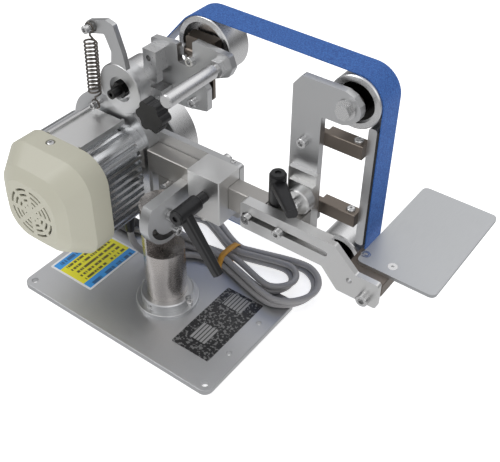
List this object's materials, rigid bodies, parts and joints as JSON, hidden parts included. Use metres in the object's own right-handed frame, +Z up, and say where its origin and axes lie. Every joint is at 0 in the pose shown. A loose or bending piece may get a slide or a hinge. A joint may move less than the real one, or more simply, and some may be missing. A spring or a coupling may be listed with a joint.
{
  "type": "belt grinder",
  "caption": "Bench belt grinder on a swivelling, tilting post, with a motor driven abrasive belt, platen, tilting work rest, spring belt tensioner and tracking knob.",
  "frame": {"origin": "centre of the base plate's underside", "axes": "+X along the tool arm towards the platen, +Y along the wheel axles away from the fan cover, +Z up"},
  "size_m": [0.3631, 0.2285, 0.2553],
  "materials": {
    "machined": "machined satin",
    "matte_alu": "bead blasted",
    "bright_alu": "bright brushed",
    "plate_alu": "satin brushed",
    "brown_alu": "hard anodised",
    "steel": "turned",
    "bright_steel": "zinc bright",
    "dark_steel": "black oxide",
    "cover_plastic": "fine texture",
    "black_plastic": "semi matt",
    "motor_alu": "die cast",
    "core_iron": "laminated",
    "cord_grey": "matt",
    "tie_yellow": "satin",
    "notice": "printed film",
    "rating": "printed foil",
    "belt_blue": "abrasive grit",
    "pad_black": "graphite pad"
  },
  "bodies": {
    "base": {"base_plate": "plate_alu", "post_flange": "machined", "base_screws": "bright_steel", "notice_plate": "notice", "rating_plate": "rating", "cord_hank": "cord_grey", "cord_tie": "tie_yellow", "cord_lower": "cord_grey", "cord_tail": "cord_grey", "power_plug": "black_plastic"},
    "post": {"swivel_post": "steel", "tilt_screws": "bright_steel", "cord_upper": "cord_grey"},
    "head": {"tilt_plate": "bright_alu", "support_bar": "matte_alu", "frame_plate": "machined", "motor_adaptor": "machined", "motor_housing": "motor_alu", "motor_top_plate": "bright_alu", "motor_core": "core_iron", "fan_cover": "cover_plastic", "cord_gland": "black_plastic", "sleeve_block": "bright_alu", "pivot_ear": "machined", "tension_pivot": "dark_steel", "head_screws": "bright_steel", "coil_spring": "dark_steel", "abrasive_belt": "belt_blue"},
    "rotor": {"motor_shaft": "steel", "cooling_fan": "black_plastic", "drive_wheel": "machined"},
    "side_clamp": {"side_lever": "black_plastic"},
    "tension_arm": {"tension_hub": "machined", "tension_tube": "bright_alu", "hub_bearings": "bright_steel", "wheel_bracket": "machined", "tension_screws": "bright_steel", "release_rod": "bright_steel"},
    "knob": {"tracking_knob": "black_plastic", "tracking_screw": "bright_steel"},
    "carrier": {"axle_carrier": "brown_alu", "tracking_axle": "steel"},
    "roller": {"tracking_wheel": "machined"},
    "tool_arm": {"tool_arm_bar": "matte_alu", "clamp_block": "matte_alu", "arm_spacers": "bright_alu", "platen_plate": "machined", "cross_bars": "brown_alu", "platen_bar": "machined", "platen_pad": "pad_black", "arm_screws": "bright_steel", "idler_axles": "bright_steel"},
    "top_clamp": {"top_lever": "black_plastic"},
    "upper_roller": {"upper_idler": "machined"},
    "lower_roller": {"lower_idler": "machined"},
    "rest": {"rest_bracket": "bright_alu", "rest_pivot": "bright_steel"},
    "table": {"rest_block": "brown_alu", "rest_table": "plate_alu", "table_screws": "bright_steel"}
  },
  "joints": [
    {"name": "post_swivel", "type": "hinge", "parent": "base", "child": "post", "pos_m": [0.012, 0, 0], "axis": [0, 0, 1], "range_deg": [-60, 60]},
    {"name": "head_tilt", "type": "hinge", "parent": "post", "child": "head", "pos_m": [0.012, 0.0025, 0.105], "axis": [1, 0, 0], "range_deg": [0, 90], "deforming": ["cord_upper"]},
    {"name": "rotor_spin", "type": "hinge", "parent": "head", "child": "rotor", "pos_m": [-0.072, 0.02, 0.108], "axis": [0, 1, 0], "continuous": true},
    {"name": "side_lever_turn", "type": "hinge", "parent": "head", "child": "side_clamp", "pos_m": [0.045, 0, 0.128], "axis": [0, 1, 0], "range_deg": [-90, 20]},
    {"name": "tension_swing", "type": "hinge", "parent": "head", "child": "tension_arm", "pos_m": [-0.051, 0.045, 0.1885], "axis": [0, 1, 0], "range_deg": [0, 15], "stiffness_Nm_per_rad": 3, "springref_deg": -20.05, "deforming": ["coil_spring", "abrasive_belt"]},
    {"name": "tracking_turn", "type": "hinge", "parent": "tension_arm", "child": "knob", "pos_m": [-0.002, 0.04, 0.19], "axis": [0, 1, 0], "range_deg": [-360, 360]},
    {"name": "carrier_tilt", "type": "hinge", "parent": "tension_arm", "child": "carrier", "pos_m": [0.004, 0.0669, 0.222], "axis": [1, 0, 0], "range_deg": [-3, 3]},
    {"name": "tracking_spin", "type": "hinge", "parent": "carrier", "child": "roller", "pos_m": [0.006, 0.085, 0.2277], "axis": [0, 1, 0], "continuous": true},
    {"name": "arm_slide", "type": "slide", "parent": "head", "child": "tool_arm", "axis": [1, 0, 0], "range_m": [-0.012, 0]},
    {"name": "top_lever_turn", "type": "hinge", "parent": "tool_arm", "child": "top_clamp", "pos_m": [0.103, 0.038, 0.15], "axis": [0, 0, 1], "range_deg": [-90, 0]},
    {"name": "upper_spin", "type": "hinge", "parent": "tool_arm", "child": "upper_roller", "pos_m": [0.147, 0.08, 0.231], "axis": [0, 1, 0], "continuous": true},
    {"name": "lower_spin", "type": "hinge", "parent": "tool_arm", "child": "lower_roller", "pos_m": [0.147, 0.08, 0.082], "axis": [0, 1, 0], "continuous": true},
    {"name": "rest_slide", "type": "slide", "parent": "tool_arm", "child": "rest", "axis": [1, 0, 0], "range_m": [-0.004, 0.003]},
    {"name": "table_tilt", "type": "hinge", "parent": "rest", "child": "table", "pos_m": [0.198, 0.048, 0.102], "axis": [0, 1, 0], "range_deg": [-30, 45]}
  ],
  "couplings": [
    {"joint": "tracking_spin", "follows": "rotor_spin", "ratio": 1.7736},
    {"joint": "upper_spin", "follows": "rotor_spin", "ratio": 2.186},
    {"joint": "lower_spin", "follows": "rotor_spin", "ratio": 2.186},
    {"joint": "carrier_tilt", "follows": "tracking_turn", "ratio": 0.008}
  ]
}
